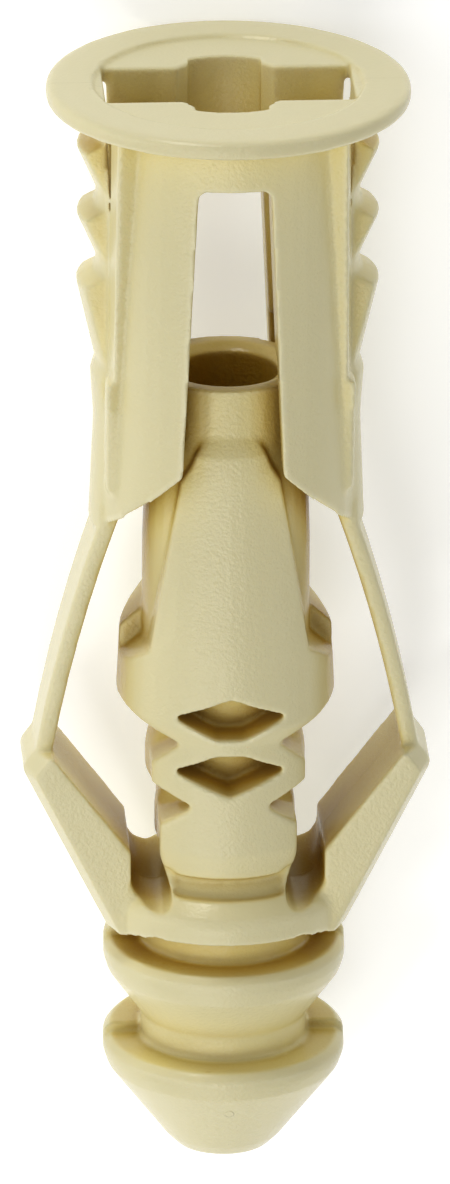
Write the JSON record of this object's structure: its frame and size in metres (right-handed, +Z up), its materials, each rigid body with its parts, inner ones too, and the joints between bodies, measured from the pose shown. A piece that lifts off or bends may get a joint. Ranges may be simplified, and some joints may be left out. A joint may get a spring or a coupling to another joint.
{
  "type": "hollow wall anchor",
  "caption": "Moulded plastic flip-arm hollow wall anchor: round flange, slotted toothed collar, screw sleeve, two folding arms on thin straps and a barbed nose.",
  "frame": {"origin": "on the table below the middle of the anchor's bounding box, the anchor lying on its back", "axes": "+Y along the anchor towards its head, +Z up, out of its front face; its axis is tilted 3.3 degrees, head up, so that flange and nose both touch the table; X is the way the arms spread"},
  "size_m": [0.0136, 0.038, 0.012],
  "materials": {
    "nylon": "beige unfilled nylon, satin, with fine spark-erosion grain on the plate, the arms' faces and the sleeve"
  },
  "bodies": {
    "root": {"wall_anchor": "nylon"}
  },
  "joints": []
}
